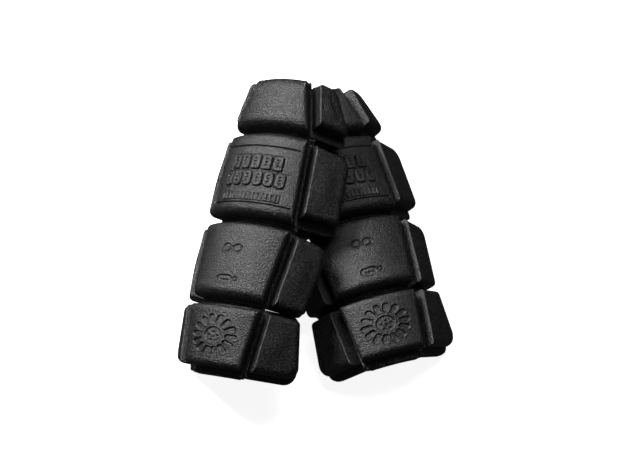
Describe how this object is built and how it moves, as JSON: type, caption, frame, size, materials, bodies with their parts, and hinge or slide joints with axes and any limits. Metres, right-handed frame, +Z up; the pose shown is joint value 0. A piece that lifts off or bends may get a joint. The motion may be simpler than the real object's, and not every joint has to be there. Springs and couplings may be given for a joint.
{
  "type": "knee pad pair",
  "caption": "Pair of curved moulded foam knee pads, rows of raised blocks with side wings and creases to flex, one pad resting on the other.",
  "frame": {"origin": "middle of the pair's bounding box, on the surface that the pads lie on", "axes": "+X to the right across the pair, +Y from the lower ends of the pads towards their upper ends, +Z up"},
  "size_m": [0.2247, 0.2674, 0.1065],
  "materials": {
    "foam_shell": "satin moulded closed-cell foam with a fine grain",
    "foam_liner": "matt closed-cell foam"
  },
  "bodies": {
    "right_pad_row1": {"right_pad_row1_centre_block": "foam_shell", "right_pad_row1_centre_liner": "foam_liner"},
    "right_pad_row1_left_wing": {"right_pad_row1_left_wing_block": "foam_shell", "right_pad_row1_left_wing_liner": "foam_liner"},
    "right_pad_row1_right_wing": {"right_pad_row1_right_wing_block": "foam_shell", "right_pad_row1_right_wing_liner": "foam_liner"},
    "right_pad_row2": {"right_pad_row2_centre_block": "foam_shell", "right_pad_row2_centre_liner": "foam_liner"},
    "right_pad_row2_left_wing": {"right_pad_row2_left_wing_block": "foam_shell", "right_pad_row2_left_wing_liner": "foam_liner"},
    "right_pad_row2_right_wing": {"right_pad_row2_right_wing_block": "foam_shell", "right_pad_row2_right_wing_liner": "foam_liner"},
    "right_pad_row3": {"right_pad_row3_centre_block": "foam_shell", "right_pad_row3_centre_liner": "foam_liner"},
    "right_pad_row3_left_wing": {"right_pad_row3_left_wing_block": "foam_shell", "right_pad_row3_left_wing_liner": "foam_liner"},
    "right_pad_row3_right_wing": {"right_pad_row3_right_wing_block": "foam_shell", "right_pad_row3_right_wing_liner": "foam_liner"},
    "right_pad_row4": {"right_pad_row4_centre_block": "foam_shell", "right_pad_row4_centre_liner": "foam_liner"},
    "right_pad_row4_left_wing": {"right_pad_row4_left_wing_block": "foam_shell", "right_pad_row4_left_wing_liner": "foam_liner"},
    "right_pad_row4_right_wing": {"right_pad_row4_right_wing_block": "foam_shell", "right_pad_row4_right_wing_liner": "foam_liner"},
    "left_pad_row1": {"left_pad_row1_centre_block": "foam_shell", "left_pad_row1_centre_liner": "foam_liner"},
    "left_pad_row1_left_wing": {"left_pad_row1_left_wing_block": "foam_shell", "left_pad_row1_left_wing_liner": "foam_liner"},
    "left_pad_row1_right_wing": {"left_pad_row1_right_wing_block": "foam_shell", "left_pad_row1_right_wing_liner": "foam_liner"},
    "left_pad_row2": {"left_pad_row2_centre_block": "foam_shell", "left_pad_row2_centre_liner": "foam_liner"},
    "left_pad_row2_left_wing": {"left_pad_row2_left_wing_block": "foam_shell", "left_pad_row2_left_wing_liner": "foam_liner"},
    "left_pad_row2_right_wing": {"left_pad_row2_right_wing_block": "foam_shell", "left_pad_row2_right_wing_liner": "foam_liner"},
    "left_pad_row3": {"left_pad_row3_centre_block": "foam_shell", "left_pad_row3_centre_liner": "foam_liner"},
    "left_pad_row3_left_wing": {"left_pad_row3_left_wing_block": "foam_shell", "left_pad_row3_left_wing_liner": "foam_liner"},
    "left_pad_row3_right_wing": {"left_pad_row3_right_wing_block": "foam_shell", "left_pad_row3_right_wing_liner": "foam_liner"},
    "left_pad_row4": {"left_pad_row4_centre_block": "foam_shell", "left_pad_row4_centre_liner": "foam_liner"},
    "left_pad_row4_left_wing": {"left_pad_row4_left_wing_block": "foam_shell", "left_pad_row4_left_wing_liner": "foam_liner"},
    "left_pad_row4_right_wing": {"left_pad_row4_right_wing_block": "foam_shell", "left_pad_row4_right_wing_liner": "foam_liner"}
  },
  "joints": [
    {"name": "right_pad_row1_crease", "type": "hinge", "parent": "right_pad_row2", "child": "right_pad_row1", "pos_m": [0.01061, 0.0786, 0.03521], "axis": [-0.9659, -0.2588, 0], "range_deg": [-10, 10], "stiffness_Nm_per_rad": 0.7},
    {"name": "right_pad_row3_crease", "type": "hinge", "parent": "right_pad_row2", "child": "right_pad_row3", "pos_m": [0.03024, 0.00536, 0.03667], "axis": [0.9659, 0.2588, 0], "range_deg": [0, 10], "stiffness_Nm_per_rad": 0.7},
    {"name": "right_pad_row4_crease", "type": "hinge", "parent": "right_pad_row3", "child": "right_pad_row4", "pos_m": [0.04743, -0.05882, 0.03796], "axis": [0.9659, 0.2588, 0], "range_deg": [-8, 0], "stiffness_Nm_per_rad": 0.7},
    {"name": "right_pad_row1_left_wing_crease", "type": "hinge", "parent": "right_pad_row1", "child": "right_pad_row1_left_wing", "pos_m": [-0.01816, 0.09628, 0.0332], "axis": [0.0536, -0.9968, -0.06], "range_deg": [-12, 12], "stiffness_Nm_per_rad": 0.6},
    {"name": "right_pad_row1_right_wing_crease", "type": "hinge", "parent": "right_pad_row1", "child": "right_pad_row1_right_wing", "pos_m": [0.02669, 0.1083, 0.0332], "axis": [-0.4519, 0.89, 0.06], "range_deg": [-12, 12], "stiffness_Nm_per_rad": 0.6},
    {"name": "right_pad_row2_left_wing_crease", "type": "hinge", "parent": "right_pad_row2", "child": "right_pad_row2_left_wing", "pos_m": [-0.00838, 0.03425, 0.03139], "axis": [0.2205, -0.9753, -0.0106], "range_deg": [-12, 12], "stiffness_Nm_per_rad": 0.6},
    {"name": "right_pad_row2_right_wing_crease", "type": "hinge", "parent": "right_pad_row2", "child": "right_pad_row2_right_wing", "pos_m": [0.04924, 0.04969, 0.03139], "axis": [-0.2967, 0.9549, 0.0106], "range_deg": [-12, 12], "stiffness_Nm_per_rad": 0.6},
    {"name": "right_pad_row3_left_wing_crease", "type": "hinge", "parent": "right_pad_row3", "child": "right_pad_row3_left_wing", "pos_m": [0.01131, -0.03446, 0.03358], "axis": [0.3361, -0.9387, 0.0772], "range_deg": [-12, 12], "stiffness_Nm_per_rad": 0.6},
    {"name": "right_pad_row3_right_wing_crease", "type": "hinge", "parent": "right_pad_row3", "child": "right_pad_row3_right_wing", "pos_m": [0.06654, -0.01966, 0.03358], "axis": [-0.1783, 0.9809, -0.0772], "range_deg": [-12, 12], "stiffness_Nm_per_rad": 0.6},
    {"name": "right_pad_row4_left_wing_crease", "type": "hinge", "parent": "right_pad_row4", "child": "right_pad_row4_left_wing", "pos_m": [0.03227, -0.09161, 0.03464], "axis": [0.3581, -0.9325, -0.0462], "range_deg": [-12, 12], "stiffness_Nm_per_rad": 0.6},
    {"name": "right_pad_row4_right_wing_crease", "type": "hinge", "parent": "right_pad_row4", "child": "right_pad_row4_right_wing", "pos_m": [0.07696, -0.07964, 0.03464], "axis": [-0.1562, 0.9866, 0.0462], "range_deg": [-12, 12], "stiffness_Nm_per_rad": 0.6},
    {"name": "left_pad_row1_crease", "type": "hinge", "parent": "left_pad_row2", "child": "left_pad_row1", "pos_m": [-0.03125, 0.06482, 0.07681], "axis": [-0.8638, 0.2595, -0.4319], "range_deg": [-10, 10], "stiffness_Nm_per_rad": 0.7},
    {"name": "left_pad_row3_crease", "type": "hinge", "parent": "left_pad_row2", "child": "left_pad_row3", "pos_m": [-0.04856, -0.00842, 0.06743], "axis": [0.8638, -0.2595, 0.4319], "range_deg": [-10, 10], "stiffness_Nm_per_rad": 0.7},
    {"name": "left_pad_row4_crease", "type": "hinge", "parent": "left_pad_row3", "child": "left_pad_row4", "pos_m": [-0.06374, -0.0726, 0.05923], "axis": [0.8638, -0.2595, 0.4319], "range_deg": [-8, 0], "stiffness_Nm_per_rad": 0.7},
    {"name": "left_pad_row1_left_wing_crease", "type": "hinge", "parent": "left_pad_row1", "child": "left_pad_row1_left_wing", "pos_m": [-0.04501, 0.09457, 0.06844], "axis": [-0.3654, -0.8878, -0.28], "range_deg": [-12, 12], "stiffness_Nm_per_rad": 0.6},
    {"name": "left_pad_row1_right_wing_crease", "type": "hinge", "parent": "left_pad_row1", "child": "left_pad_row1_right_wing", "pos_m": [-0.0049, 0.08252, 0.08849], "axis": [0.0092, 0.9948, 0.1019], "range_deg": [-12, 12], "stiffness_Nm_per_rad": 0.6},
    {"name": "left_pad_row2_left_wing_crease", "type": "hinge", "parent": "left_pad_row2", "child": "left_pad_row2_left_wing", "pos_m": [-0.06361, 0.03605, 0.05519], "axis": [-0.2487, -0.9541, -0.167], "range_deg": [-12, 12], "stiffness_Nm_per_rad": 0.6},
    {"name": "left_pad_row2_right_wing_crease", "type": "hinge", "parent": "left_pad_row2", "child": "left_pad_row2_right_wing", "pos_m": [-0.01208, 0.02057, 0.08095], "axis": [0.1806, 0.9745, 0.133], "range_deg": [-12, 0], "stiffness_Nm_per_rad": 0.6},
    {"name": "left_pad_row3_left_wing_crease", "type": "hinge", "parent": "left_pad_row3", "child": "left_pad_row3_left_wing", "pos_m": [-0.07923, -0.03333, 0.04761], "axis": [-0.1827, -0.9825, -0.0358], "range_deg": [-12, 12], "stiffness_Nm_per_rad": 0.6},
    {"name": "left_pad_row3_right_wing_crease", "type": "hinge", "parent": "left_pad_row3", "child": "left_pad_row3_right_wing", "pos_m": [-0.02984, -0.04816, 0.0723], "axis": [0.3238, 0.9401, 0.1063], "range_deg": [-12, 12], "stiffness_Nm_per_rad": 0.6},
    {"name": "left_pad_row4_left_wing_crease", "type": "hinge", "parent": "left_pad_row4", "child": "left_pad_row4_left_wing", "pos_m": [-0.08831, -0.0933, 0.04238], "axis": [-0.1069, -0.9849, -0.1358], "range_deg": [-12, 12], "stiffness_Nm_per_rad": 0.6},
    {"name": "left_pad_row4_right_wing_crease", "type": "hinge", "parent": "left_pad_row4", "child": "left_pad_row4_right_wing", "pos_m": [-0.04835, -0.10531, 0.06236], "axis": [0.2875, 0.9307, 0.2261], "range_deg": [-12, 12], "stiffness_Nm_per_rad": 0.6},
    {"name": "left_pad_lift", "type": "slide", "parent": "right_pad_row2", "child": "left_pad_row2", "axis": [0, 0, 1], "range_m": [0, 0.12]}
  ]
}
